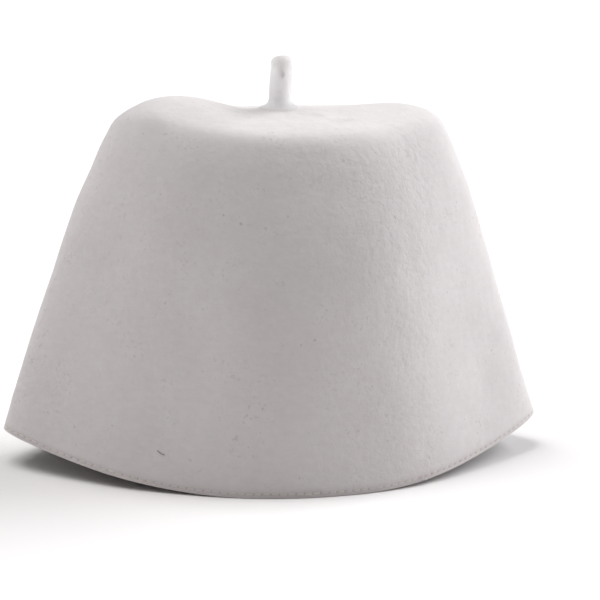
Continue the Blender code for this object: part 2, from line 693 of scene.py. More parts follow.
# Three faint patches of painted shade in the shallow dents of the crown right of the stem, and a speck high
# on the front
CAP_MARKS_AND_SHADE = (
    SoilAndShadeSpot(15.0, -9.9, 152.8, 6.0, 6.0, 0.19),
    SoilAndShadeSpot(21.5, -18.1, 151.6, 6.0, 6.0, 0.13),
    SoilAndShadeSpot(26.7, -16.5, 151.7, 4.4, 4.4, 0.15),
    SoilAndShadeSpot(-25.4, -49.2, 114.7, 1.1, 1.1, 0.4),
)


@dataclass(frozen=True)
class FulledWoolFelt:
    """Finish of light grey wool felt, fulled over a block and left unshorn.

    Fulling mats the fibres into a pebbled skin with no weave. It scatters light softly, is quite matt, and
    looks a little paler at a grazing angle, where the loose nap stands in the light. Undyed wool keeps a
    slight mottling and a few dark coarse hairs. The thin stem lets some light through.
    """

    body_colour: str = "#dcd7d7"
    shade_colour: str = "#d4cece"
    stem_colour: str = "#efeeef"
    stem_shade: str = "#e4e2e3"
    # Dark colour of the soiled spots, which also paints shade in the crown's dents and down the stem's right
    # side
    stain_and_shade_colour: str = "#8e8686"
    hair_colour: str = "#7d716e"
    pressed_colour: str = "#d0c9c8"
    # Painted shade in the needle holes
    hole_shade_colour: str = "#aea4a2"
    roughness: float = 0.95
    ior: float = 1.54
    specular: float = 0.2
    sheen: float = 0.13
    sheen_roughness: float = 0.6
    # Light goes nearly as deep in every colour, red the deepest
    light_depth_mm: float = 16.0
    light_depth_shares: tuple[float, float, float] = (1.0, 0.95, 0.93)
    # Clouds of tone, and the locks of wool in them, which lie along the wall
    mottle_mm: float = 26.0
    lock_mm: float = 2.2
    lock_squeeze: tuple[float, float, float] = (0.5, 0.5, 0.9)
    lock_share: float = 0.55
    tone_band: tuple[float, float] = (0.34, 0.66)
    # Clumps of darker wool, and the flecks that gather in them
    clump_mm: float = 13.0
    clump_band: tuple[float, float] = (0.5, 0.68)
    fleck_mm: float = 1.6
    fleck_band: tuple[float, float] = (0.58, 0.74)
    fleck_depth: float = 0.2
    # Dark coarse hairs, whose sizes are shares of the cell that holds one. A hair is 0.06 mm thick, too
    # fine to show, so each is drawn as a speck of 0.5 to 1.4 mm. Most are faint and few are dark: a chance
    # value raised to the rarity, times the range, is added to the faintest.
    hair_cell_mm: float = 5.0
    hair_wander_mm: float = 1.2
    hair_wander_grain_mm: float = 20.0 / 7.0
    hair_sizes: tuple[float, float] = (0.05, 0.14)
    hair_edge: float = 0.05
    hair_faintest: float = 0.08
    hair_range: float = 0.28
    hair_rarity: float = 3.0
    # Stains in the stem's wool, and the ragged edge of the dark spots, both the soiled ones and those of
    # painted shade
    stain_mm: float = 3.0
    ragged_mm: float = 1.4
    ragged_grain_mm: float = 10.0 / 9.0
    spot_core: float = 0.1
    # Relief of the matted pebbles and of the nap. Single fibres are 0.02 to 0.04 mm thick, too fine to
    # show, so the nap is drawn 0.9 mm coarse.
    pebble_mm: float = 2.7
    pebble_relief_mm: float = 0.32
    pebble_crispness: float = 0.57
    nap_mm: float = 0.9
    nap_relief_mm: float = 0.03
    nap_crispness: float = 0.7
    # The nap is rubbed flat toward the right end and lies flatter on the crown
    right_end_mm: tuple[float, float] = (54.0, 70.0)
    right_end_nap: float = 0.22
    crown_edge_mm: tuple[float, float] = (138.0, 150.0)
    crown_nap: float = 0.5

    def material(self) -> bpy.types.Material:
        """Build the felt's material.

        Returns:
            The material.
        """
        material, tree, shader = new_material("fulled_wool_felt")
        metres = add_node(tree, Kind.PLACE, {}, {}).outputs["Object"]
        scaled = add_node(tree, Kind.VECTOR, {"operation": "SCALE"}, {0: metres, "Scale": 1.0 / MM})
        place = scaled.outputs["Vector"]
        colour = self.with_clumps(tree, place, self.mottled(tree, place))
        # Darker spots on the crown: painted shade in three shallow dents, and one speck
        for spot in CAP_MARKS_AND_SHADE:
            colour = self.with_spot(tree, place, colour, spot)
        colour = self.with_stem(tree, place, colour)
        colour = self.with_hairs(tree, place, colour)
        colour = self.with_rim_marks(tree, colour)
        stem = add_node(tree, Kind.MARK, {"attribute_name": "stem_share"}, {})
        tree.links.new(colour, shader.inputs["Base Color"])
        tree.links.new(self.nap_normal(tree, place), shader.inputs["Normal"])
        tree.links.new(stem.outputs["Fac"], shader.inputs["Subsurface Weight"])
        shader.inputs["Subsurface Scale"].default_value = self.light_depth_mm * MM
        shader.inputs["Subsurface Radius"].default_value = self.light_depth_shares
        shader.inputs["Roughness"].default_value = self.roughness
        shader.inputs["IOR"].default_value = self.ior
        shader.inputs["Specular IOR Level"].default_value = self.specular
        shader.inputs["Sheen Weight"].default_value = self.sheen
        shader.inputs["Sheen Roughness"].default_value = self.sheen_roughness
        return material

    def mottled(self, tree: Tree, place: Socket) -> Socket:
        """Mix the two wool greys in clouds, and in finer flecks of single locks.

        Args:
            tree: the material's nodes.
            place: place on the cap, in millimetres.

        Returns:
            The mixed colour.
        """
        clouds = add_node(
            tree, Kind.NOISE, {},
            {"Vector": place, "Scale": 1.0 / self.mottle_mm, "Detail": 4.0, "Roughness": 0.6},
        )
        laid = add_node(tree, Kind.VECTOR, TIMES, {0: place, 1: self.lock_squeeze})
        locks = add_node(
            tree, Kind.NOISE, {},
            {"Vector": laid.outputs["Vector"], "Scale": 1.0 / self.lock_mm, "Detail": 3.0, "Roughness": 0.7},
        )
        blend = add_node(
            tree, Kind.MIX, VALUES,
            {SHARE: self.lock_share, FIRST_VALUE: clouds.outputs["Fac"], SECOND_VALUE: locks.outputs["Fac"]},
        )
        low, high = self.tone_band
        tone = add_node(
            tree, Kind.RANGE, {}, {"Value": blend.outputs[MIXED_VALUE], "From Min": low, "From Max": high}
        )
        mixed = add_node(
            tree, Kind.MIX, COLOURS,
            {SHARE: tone.outputs["Result"], UNDER: srgb(self.shade_colour), OVER: srgb(self.body_colour)},
        )
        return mixed.outputs[MIXED]

    def with_clumps(self, tree: Tree, place: Socket, colour: Socket) -> Socket:
        """Add the small grey flecks that gather here and there where locks of darker wool lie.

        Args:
            tree: the material's nodes.
            place: place on the cap, in millimetres.
            colour: the felt's colour so far.

        Returns:
            The colour with the flecks.
        """
        clumps = add_node(
            tree, Kind.NOISE, {}, {"Vector": place, "Scale": 1.0 / self.clump_mm, "Detail": 1.0}
        )
        low, high = self.clump_band
        gathered = add_node(
            tree, Kind.RANGE, {}, {"Value": clumps.outputs["Fac"], "From Min": low, "From Max": high}
        )
        flecks = add_node(
            tree, Kind.NOISE, {}, {"Vector": place, "Scale": 1.0 / self.fleck_mm, "Detail": 1.0}
        )
        low, high = self.fleck_band
        picked = add_node(
            tree, Kind.RANGE, {},
            {"Value": flecks.outputs["Fac"], "From Min": low, "From Max": high, "To Max": self.fleck_depth},
        )
        strength = add_node(
            tree, Kind.MATH, TIMES, {0: gathered.outputs["Result"], 1: picked.outputs["Result"]}
        )
        mixed = add_node(
            tree, Kind.MIX, COLOURS,
            {SHARE: strength.outputs[0], UNDER: colour, OVER: srgb(self.hair_colour)},
        )
        return mixed.outputs[MIXED]

    def with_spot(self, tree: Tree, place: Socket, colour: Socket, spot: SoilAndShadeSpot) -> Socket:
        """Darken one spot of the wool, with a ragged edge; the spots are soiling in some places and painted
        shade in others.

        Args:
            tree: the material's nodes.
            place: place on the cap, in millimetres.
            colour: the wool's colour so far.
            spot: the spot.

        Returns:
            The colour with the spot.
        """
        ragged = add_node(
            tree, Kind.NOISE, {}, {"Vector": place, "Scale": 1.0 / self.ragged_grain_mm, "Detail": 2.0}
        )
        bent = add_node(
            tree, Kind.VECTOR, TIMES_PLUS, {0: ragged.outputs["Color"], 1: (self.ragged_mm,) * 3, 2: place}
        )
        # The noise bends by half its reach on average, so the spot's middle is moved along with it
        half = 0.5 * self.ragged_mm
        away = add_node(
            tree, Kind.VECTOR, {"operation": "SUBTRACT"},
            {0: bent.outputs["Vector"], 1: (spot.x + half, spot.y + half, spot.z + half)},
        )
        flat = add_node(
            tree, Kind.VECTOR, TIMES,
            {0: away.outputs["Vector"], 1: (1.0 / spot.width, 1.0 / spot.width, 1.0 / spot.tall)},
        )
        reach = add_node(tree, Kind.VECTOR, {"operation": "LENGTH"}, {0: flat.outputs["Vector"]})
        soft = add_node(
            tree, Kind.RANGE, SOFT_ENDS,
            {
                "Value": reach.outputs["Value"],
                "From Min": 1.0,
                "From Max": self.spot_core,
                "To Max": spot.strength,
            },
        )
        mixed = add_node(
            tree, Kind.MIX, COLOURS,
            {SHARE: soft.outputs["Result"], UNDER: colour, OVER: srgb(self.stain_and_shade_colour)},
        )
        return mixed.outputs[MIXED]

    def with_stem(self, tree: Tree, place: Socket, colour: Socket) -> Socket:
        """Turn to the whiter, looser wool of the stem, with its dark flecks, a darker top and painted shade
        down its right side.

        Args:
            tree: the material's nodes.
            place: place on the cap, in millimetres.
            colour: the cap's colour.

        Returns:
            The colour of cap and stem.
        """
        share = add_node(tree, Kind.MARK, {"attribute_name": "stem_share"}, {})
        clouds = add_node(
            tree, Kind.NOISE, {},
            {"Vector": place, "Scale": 1.0 / self.stain_mm, "Detail": 3.0, "Roughness": 0.6},
        )
        wool = add_node(
            tree, Kind.MIX, COLOURS,
            {SHARE: clouds.outputs["Fac"], UNDER: srgb(self.stem_colour), OVER: srgb(self.stem_shade)},
        ).outputs[MIXED]
        # Dark flecks, a darker top, and painted shade down the side toward the key light
        for spot in STEM_MARKS_AND_SHADE:
            wool = self.with_spot(tree, place, wool, spot)
        mixed = add_node(tree, Kind.MIX, COLOURS, {SHARE: share.outputs["Fac"], UNDER: colour, OVER: wool})
        return mixed.outputs[MIXED]

    def with_hairs(self, tree: Tree, place: Socket, colour: Socket) -> Socket:
        """Add the sparse dark coarse hairs, seen as specks.

        Args:
            tree: the material's nodes.
            place: place on the cap, in millimetres.
            colour: the wool's colour so far.

        Returns:
            The colour with the hairs.
        """
        wander = add_node(
            tree, Kind.NOISE, {}, {"Vector": place, "Scale": 1.0 / self.hair_wander_grain_mm, "Detail": 1.0}
        )
        bent = add_node(
            tree, Kind.VECTOR, TIMES_PLUS,
            {0: wander.outputs["Color"], 1: (self.hair_wander_mm,) * 3, 2: place},
        )
        cells = add_node(
            tree, Kind.CELLS, {}, {"Vector": bent.outputs["Vector"], "Scale": 1.0 / self.hair_cell_mm}
        )
        pick = add_node(tree, Kind.COLOUR_PARTS, {}, {0: cells.outputs["Color"]})
        small, large = self.hair_sizes
        reach = add_node(
            tree, Kind.RANGE, {}, {"Value": pick.outputs["Red"], "To Min": small, "To Max": large}
        )
        inside = add_node(
            tree, Kind.MATH, {"operation": "SUBTRACT"},
            {0: reach.outputs["Result"], 1: cells.outputs["Distance"]},
        )
        speck = add_node(
            tree, Kind.RANGE, {}, {"Value": inside.outputs[0], "From Min": 0.0, "From Max": self.hair_edge}
        )
        depth = add_node(
            tree, Kind.MATH, {"operation": "POWER"}, {0: pick.outputs["Green"], 1: self.hair_rarity}
        )
        dark = add_node(
            tree, Kind.MATH, TIMES_PLUS, {0: depth.outputs[0], 1: self.hair_range, 2: self.hair_faintest}
        )
        strength = add_node(tree, Kind.MATH, TIMES, {0: speck.outputs["Result"], 1: dark.outputs[0]})
        mixed = add_node(
            tree, Kind.MIX, COLOURS,
            {SHARE: strength.outputs[0], UNDER: colour, OVER: srgb(self.hair_colour)},
        )
        return mixed.outputs[MIXED]

    def with_rim_marks(self, tree: Tree, colour: Socket) -> Socket:
        """Darken the felt that the stitches press down, and paint shade into the needle holes.

        Args:
            tree: the material's nodes.
            colour: the felt's colour so far.

        Returns:
            The colour with the marks.
        """
        # The needle holes are darkened with painted shade
        for name, tint in (("pressed_edge", self.pressed_colour), ("needle_hole", self.hole_shade_colour)):
            mark = add_node(tree, Kind.MARK, {"attribute_name": name}, {})
            mixed = add_node(
                tree, Kind.MIX, COLOURS, {SHARE: mark.outputs["Fac"], UNDER: colour, OVER: srgb(tint)}
            )
            colour = mixed.outputs[MIXED]
        return colour

    def nap_normal(self, tree: Tree, place: Socket) -> Socket:
        """Raise the pebbled relief with the finer nap on it.

        Args:
            tree: the material's nodes.
            place: place on the cap, in millimetres.

        Returns:
            The direction off the felt, with its relief.
        """
        strength = self.nap_strength(tree, place)
        normal = None
        for grain, relief, crisp in (
            (self.pebble_mm, self.pebble_relief_mm, self.pebble_crispness),
            (self.nap_mm, self.nap_relief_mm, self.nap_crispness),
        ):
            humps = add_node(
                tree, Kind.NOISE, {},
                {"Vector": place, "Scale": 1.0 / grain, "Detail": 3.0, "Roughness": crisp},
            )
            below = {} if normal is None else {"Normal": normal}
            raised = add_node(
                tree, Kind.BUMP, {},
                {"Strength": strength, "Distance": relief * MM, "Height": humps.outputs["Fac"], **below},
            )
            normal = raised.outputs["Normal"]
        return normal

    def nap_strength(self, tree: Tree, place: Socket) -> Socket:
        """How strongly the nap stands, which is less toward the right end and on the crown.

        Args:
            tree: the material's nodes.
            place: place on the cap, in millimetres.

        Returns:
            The strength, from 0 to 1.
        """
        spot = add_node(tree, Kind.PLACE_PARTS, {}, {0: place})
        parts: list[Socket] = []
        for axis, (start, end), left in (
            ("X", self.right_end_mm, self.right_end_nap),
            ("Z", self.crown_edge_mm, self.crown_nap),
        ):
            fade = add_node(
                tree, Kind.RANGE, SOFT_ENDS,
                {
                    "Value": spot.outputs[axis],
                    "From Min": start,
                    "From Max": end,
                    "To Min": 1.0,
                    "To Max": left,
                },
            )
            parts.append(fade.outputs["Result"])
        both = add_node(tree, Kind.MATH, TIMES, dict(enumerate(parts)))
        return both.outputs[0]


@dataclass(frozen=True)
class CottonThread:
    """Finish of pale cotton sewing thread: two twisted plies, matt, with a faint soft gleam.

    A cotton fibre is 0.015 mm thick, too fine to show, so the fibres are drawn 0.25 mm coarse.
    """

    colour: str = "#e6e1e0"
    shade: str = "#d2cbca"
    roughness: float = 0.75
    sheen: float = 0.2
    fibre_mm: float = 0.25
    relief_mm: float = 0.02

    def material(self) -> bpy.types.Material:
        """Build the thread's material.

        Returns:
            The material.
        """
        material, tree, shader = new_material("pale_cotton_thread")
        metres = add_node(tree, Kind.PLACE, {}, {}).outputs["Object"]
        scaled = add_node(tree, Kind.VECTOR, {"operation": "SCALE"}, {0: metres, "Scale": 1.0 / MM})
        fibres = add_node(
            tree, Kind.NOISE, {},
            {"Vector": scaled.outputs["Vector"], "Scale": 1.0 / self.fibre_mm, "Detail": 2.0},
        )
        mixed = add_node(
            tree, Kind.MIX, COLOURS,
            {SHARE: fibres.outputs["Fac"], UNDER: srgb(self.shade), OVER: srgb(self.colour)},
        )
        raised = add_node(
            tree, Kind.BUMP, {},
            {"Strength": 1.0, "Distance": self.relief_mm * MM, "Height": fibres.outputs["Fac"]},
        )
        tree.links.new(mixed.outputs[MIXED], shader.inputs["Base Color"])
        tree.links.new(raised.outputs["Normal"], shader.inputs["Normal"])
        shader.inputs["Roughness"].default_value = self.roughness
        shader.inputs["Sheen Weight"].default_value = self.sheen
        return material


@dataclass(frozen=True)
class CoarseHair:
    """Finish of one coarse dark hair: smooth, brown and faintly glossy."""

    colour: str = "#86706a"
    shade: str = "#6d5953"
    roughness: float = 0.5
    tone_mm: float = 2.0 / 3.0

    def material(self) -> bpy.types.Material:
        """Build the hair's material.

        Returns:
            The material.
        """
        material, tree, shader = new_material("coarse_brown_hair")
        metres = add_node(tree, Kind.PLACE, {}, {}).outputs["Object"]
        tone = add_node(
            tree, Kind.NOISE, {}, {"Vector": metres, "Scale": 1.0 / (self.tone_mm * MM), "Detail": 1.0}
        )
        mixed = add_node(
            tree, Kind.MIX, COLOURS,
            {SHARE: tone.outputs["Fac"], UNDER: srgb(self.colour), OVER: srgb(self.shade)},
        )
        tree.links.new(mixed.outputs[MIXED], shader.inputs["Base Color"])
        shader.inputs["Roughness"].default_value = self.roughness
        return material


@dataclass(frozen=True)
class MattWhiteBoard:
    """Finish of the floor: matt coated board, which shows a soft shadow and no mirror image."""

    colour: str = "#f5f2f2"
    roughness: float = 0.9

    def material(self) -> bpy.types.Material:
        """Build the board's material.

        Returns:
            The material.
        """
        material, _, shader = new_material("matt_white_board")
        shader.inputs["Base Color"].default_value = srgb(self.colour)
        shader.inputs["Roughness"].default_value = self.roughness
        return material


def finished_object(
    name: str, points: np.ndarray, faces: Faces, material: bpy.types.Material
) -> bpy.types.Object:
    """Make a smooth mesh object that rides on the cap, with its finish in its one slot.

    Args:
        name: the piece's name.
        points: its points in metres.
        faces: its faces as point indices.
        material: its finish.

    Returns:
        The new object.
    """
    mesh = bpy.data.meshes.new(name)
    mesh.from_pydata(points.tolist(), [], faces)
    mesh.polygons.foreach_set("use_smooth", [True] * len(mesh.polygons))
    mesh.materials.append(material)
    piece = bpy.data.objects.new(name, mesh)
    bpy.context.scene.collection.objects.link(piece)
    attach(piece, CAP_BODY)
    return piece


@dataclass(frozen=True)
class FeltCap:
    """The felt itself: wall, crown and stem in one fine closed skin, cut square at the rim.

    Args:
        form: the main form.
        columns: columns at the stitched rim; it is halved going up, three times at most.
        edge_rounding: radius of the two corners of the cut edge, in millimetres.
        edge_turns: degrees round a corner of the cut edge at which a ring lies.
        outer_rim_rings: heights of the rings through the stitched row outside, close enough for the holes.
        inner_rim_rings: heights of the rings through the stitched row inside.
        outer_wall_from: height at which the even rings of the outer wall start.
        inner_wall_from: height at which those of the inner wall start.
        wall_pitch: spacing of the rings up the wall, in millimetres.
        shoulder_rings: rings of the shoulder.
        edge_rings: rings of the crown's edge.
        crown_rings: rings of the crown.
        stem_rings: rings of the stem.
        inner_crown_rings: rings of the inside above the wall.
        press_depth: how far the stitches press the felt in.
        press_over: height above the row over which the pressing goes.
        hole_depth: how far the deepest needle hole pulls the felt in.
        loose_band: heights over which the felt gets free of the stitches and turns uneven.
        pressed_middle: height at which the felt is pressed most.
        pressed_reach: how far from there its pressed look reaches.
        stem_band: heights above the crown over which the stem's wool begins.
        tip_rise: how far the last point of the stem stands above its last ring.
    """

    form: CapForm
    columns: int = COLUMNS_PER_STITCH * STITCHING.count
    edge_rounding: float = 0.55
    edge_turns: tuple[float, ...] = (0.0, 25.0, 50.0, 75.0)
    outer_rim_rings: tuple[float, ...] = (0.55, 0.9, 1.25, 1.6, 1.9, 2.2, 2.5, 2.9, 3.5, 4.3, 5.3)
    inner_rim_rings: tuple[float, ...] = (0.55, 1.3, 1.9, 2.5, 3.2, 4.3, 5.8)
    outer_wall_from: float = 6.6
    inner_wall_from: float = 8.0
    wall_pitch: float = 2.2
    shoulder_rings: int = 7
    edge_rings: int = 13
    crown_rings: int = 17
    stem_rings: int = 29
    inner_crown_rings: int = 25
    press_depth: float = 0.16
    press_over: tuple[float, float] = (0.1, 1.6)
    hole_depth: float = 0.24
    loose_band: tuple[float, float] = (2.5, 9.0)
    pressed_middle: float = 1.6
    pressed_reach: float = 1.7
    stem_band: tuple[float, float] = (0.4, 3.0)
    tip_rise: float = 0.08

    def build(self) -> bpy.types.Object:
        """Build the felt as one closed mesh and dress it.

        Returns:
            The felt piece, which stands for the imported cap.
        """
        rings = self.inner_rings()[::-1] + self.cut_edge() + self.outer_rings()
        starts = np.concatenate([[0], np.cumsum([len(ring.points) for ring in rings])]).astype(int)
        faces: Faces = []
        for index in range(len(rings) - 1):
            here, there = rings[index], rings[index + 1]
            faces += ring_faces(starts[index], len(here.points), starts[index + 1], len(there.points))
        points = np.concatenate([ring.points for ring in rings])
        rise = np.array([0.0, 0.0, self.tip_rise])
        tips = [rings[0].points.mean(axis=0), rings[-1].points.mean(axis=0) + rise]
        faces += self.fan(starts[0], len(rings[0].points), len(points), flip=True)
        faces += self.fan(starts[-2], len(rings[-1].points), len(points) + 1, flip=False)
        points = np.concatenate([points, np.array(tips)])
        piece = finished_object("felt_skin", to_packed_box(points), faces, FulledWoolFelt().material())
        for name in ("needle_hole", "pressed_edge", "stem_share"):
            ends = [getattr(rings[0], name)[:1], getattr(rings[-1], name)[:1]]
            values = np.concatenate([getattr(ring, name) for ring in rings] + ends)
            layer = piece.data.attributes.new(name, "FLOAT", "POINT")
            layer.data.foreach_set("value", values.astype(np.float32))
        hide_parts(CAP_NODE)
        return piece

    def fan(self, first: int, count: int, tip: int, flip: bool) -> Faces:
        """Close a ring with triangles that meet in one point."""
        pairs = [(first + column, first + (column + 1) % count) for column in range(count)]
        return [(pair[1], pair[0], tip) if flip else (pair[0], pair[1], tip) for pair in pairs]

    def outer_rings(self) -> list[Ring]:
        """Rings of the outside, from the rim up the wall, over the crown and up the stem.

        Returns:
            The rings, lowest first.
        """
        table = WALL + CROWN + STEM
        crown_top = len(WALL + CROWN) - 1.0
        wall_top = len(WALL) - 1.0
        wall = np.arange(self.outer_wall_from, WALL[-1].height, self.wall_pitch)
        bands = (
            (self.columns, self.form.levels_at(table, np.array(self.outer_rim_rings))),
            (self.columns // 2, self.form.levels_at(table, wall)),
            (self.columns // 2, np.linspace(wall_top, wall_top + 1.0, self.shoulder_rings)),
            (self.columns // 4, np.linspace(wall_top + 1.0, wall_top + 2.0, self.edge_rings)[1:]),
            (self.columns // 8, np.linspace(wall_top + 2.0, crown_top, self.crown_rings)[1:]),
            (self.columns // 8, np.linspace(crown_top, len(table) - 1.0, self.stem_rings)[1:]),
        )
        rings: list[Ring] = []
        for count, levels in bands:
            rings += self.rings(table, levels, count, Side.OUTSIDE)
        return rings

    def inner_rings(self) -> list[Ring]:
        """Rings of the inside, from the rim up to the middle of the crown.

        Returns:
            The rings, lowest first.
        """
        table = WALL + CROWN
        wall = np.arange(self.inner_wall_from, WALL[-1].height, 2.0 * self.wall_pitch)
        wall_top = len(WALL) - 1.0
        bands = (
            (self.columns // 2, self.form.levels_at(table, np.array(self.inner_rim_rings))),
            (self.columns // 4, self.form.levels_at(table, wall)),
            (self.columns // 8, np.linspace(wall_top, len(table) - 1.0, self.inner_crown_rings)),
        )
        rings: list[Ring] = []
        for count, levels in bands:
            rings += self.rings(table, levels, count, Side.INSIDE)
        return rings

    def rings(self, table: tuple[Section, ...], levels: np.ndarray, count: int, side: Side) -> list[Ring]:
        """Rings of one side of the felt with its unevenness, its seam groove and its needle holes.

        Args:
            table: the sections, lowest first.
            levels: places in the table, one for each ring.
            count: columns of each ring.
            side: which face of the felt.

        Returns:
            One ring for each level.
        """
        angles = self.form.even_angles(count)
        skin = self.form.skin(table, levels, angles)
        out = self.form.normals(table, levels, angles)
        if side is Side.INSIDE:
            skin = skin - out * FELT_THICKNESS
            out = -out
        heights = self.form.sections_at(table, levels)[:, 0]
        pitch = self.form.girth() / STITCHING.count
        holes = STITCHING.hole_pull(np.arange(count) / count, heights, pitch)
        start, end = self.press_over
        press = 1.0 - ease(heights, STITCHING.row_height + start, STITCHING.row_height + end)
        loose = ease(heights, *self.loose_band)[:, None]
        uneven = sum(layer.at(skin) for layer in FELT_UNEVENNESS)
        shift = uneven * loose - self.press_depth * press[:, None] - self.hole_depth * holes
        if side is Side.OUTSIDE:
            shift = shift + loose * sum(mark.at(skin) for mark in HAND_MARKS)
        points = skin + out * shift[..., None]
        pressed = np.exp(-(((heights - self.pressed_middle) / self.pressed_reach) ** 2))
        start, end = self.stem_band
        stem = ease(heights, CROWN_HEIGHT + start, CROWN_HEIGHT + end) * (side is Side.OUTSIDE)
        even = np.ones(count)
        marks = zip(points, holes, pressed[:, None] * even, stem[:, None] * even)
        return [Ring(*values) for values in marks]

    def cut_edge(self) -> list[Ring]:
        """Rings round the cut edge.

        Returns:
            The rings, from the inside corner to the outside corner.
        """
        angles = self.form.even_angles(self.columns)
        start = self.form.levels_at(WALL, np.array([self.edge_rounding]))
        outer = self.form.skin(WALL, start, angles)[0]
        out = self.form.normals(WALL, start, angles)[0]
        flat_out = out * np.array([1.0, 1.0, 0.0])
        flat_out /= np.linalg.norm(flat_out, axis=1, keepdims=True)
        down = np.array([0.0, 0.0, -self.edge_rounding])
        turns = np.radians(self.edge_turns)
        near = [self.edge_rounding * (1.0 - math.sin(turn)) for turn in turns]
        places = [(FELT_THICKNESS - depth, turn) for depth, turn in zip(near, turns)][::-1]
        places += list(zip(near, turns))
        rings = [outer - flat_out * depth + down * math.cos(turn) for depth, turn in places]
        none = np.zeros(self.columns)
        return [Ring(points, none, none + 1.0, none) for points in rings]


@dataclass
class Rope:
    """A two-ply thread, laid along one or more lines into one mesh.

    Args:
        ply_radius: radius of one ply, in millimetres.
        turns: twists of the plies along one line.
        sides: sides of one ply.
        bite: how far the plies' middles stand from the line, as a share of their radius.
        points: the mesh's points so far.
        faces: the mesh's faces so far.
        total: number of points so far.
    """

    ply_radius: float
    turns: float
    sides: int
    bite: float = 0.8
    points: list[np.ndarray] = field(default_factory=list)
    faces: Faces = field(default_factory=list)
    total: int = 0

    def lay(self, path: np.ndarray, out: np.ndarray) -> None:
        """Lay both plies along a line.

        Args:
            path: points of the line, in millimetres.
            out: direction off the felt at each point.
        """
        for phase in (0.0, math.pi):
            tube = self.ply(path, out, phase)
            self.points.append(tube.reshape(-1, 3))
            self.faces += self.tube_faces(self.total, len(path))
            self.total += len(path) * self.sides

    def ply(self, path: np.ndarray, out: np.ndarray, phase: float) -> np.ndarray:
        """Tube of one ply that winds about the line.

        Args:
            path: points of the line, in millimetres.
            out: direction off the felt at each point.
            phase: angle at which the winding starts.

        Returns:
            Points as rings by sides by XYZ.
        """
        ahead = np.gradient(path, axis=0)
        ahead /= np.linalg.norm(ahead, axis=1, keepdims=True)
        across = np.cross(ahead, out)
        wind = phase + self.turns * math.tau * np.linspace(0.0, 1.0, len(path))[:, None]
        centre = path + self.ply_radius * self.bite * (np.cos(wind) * out + np.sin(wind) * across)
        around = np.linspace(0.0, math.tau, self.sides, endpoint=False)[None, :, None]
        spoke = np.cos(around) * out[:, None, :] + np.sin(around) * across[:, None, :]
        return centre[:, None, :] + self.ply_radius * spoke

    def tube_faces(self, start: int, steps: int) -> Faces:
        """Faces of one ply's tube and its two closed ends.

        Args:
            start: index of the tube's first point.
            steps: number of its rings.

        Returns:
            The faces as point indices.
        """
        faces: Faces = []
        for ring in range(steps - 1):
            low = start + ring * self.sides
            faces += ring_faces(low + self.sides, self.sides, low, self.sides)
        last = start + (steps - 1) * self.sides
        faces.append(tuple(range(start, start + self.sides)))
        faces.append(tuple(range(last, last + self.sides))[::-1])
        return faces

    def finished(self, name: str, material: bpy.types.Material) -> bpy.types.Object:
        """Make the rope's piece."""
        return finished_object(name, to_packed_box(np.concatenate(self.points)), self.faces, material)


@dataclass(frozen=True)
class ThreadEnd:
    """A short loose end where the row of stitches was finished off.

    Args:
        angle: angle round the oval of its needle hole, in degrees.
        drift: degrees that it runs sideways.
        length: how far down it reaches, in millimetres.
        lift: how far its bow stands off the felt, in millimetres.
        above: how far above the row it comes out, in millimetres.
        off: how far its middle lies off the felt, in millimetres.
        tucked: how far it is tucked in at its hole, in millimetres.
        lowest: height above the cut edge down to which it follows the wall, in millimetres.
        steps: points along it.
    """

    angle: float
    drift: float
    length: float
    lift: float
    above: float = 0.3
    off: float = 0.25
    tucked: float = 0.3
    lowest: float = 0.1
    steps: int = 9


# Two ends near the front's right, where the row was finished off
THREAD_ENDS = (
    ThreadEnd(297.1, 0.9, 2.3, 0.35),
    ThreadEnd(296.7, 0.2, 1.3, 0.2),
)


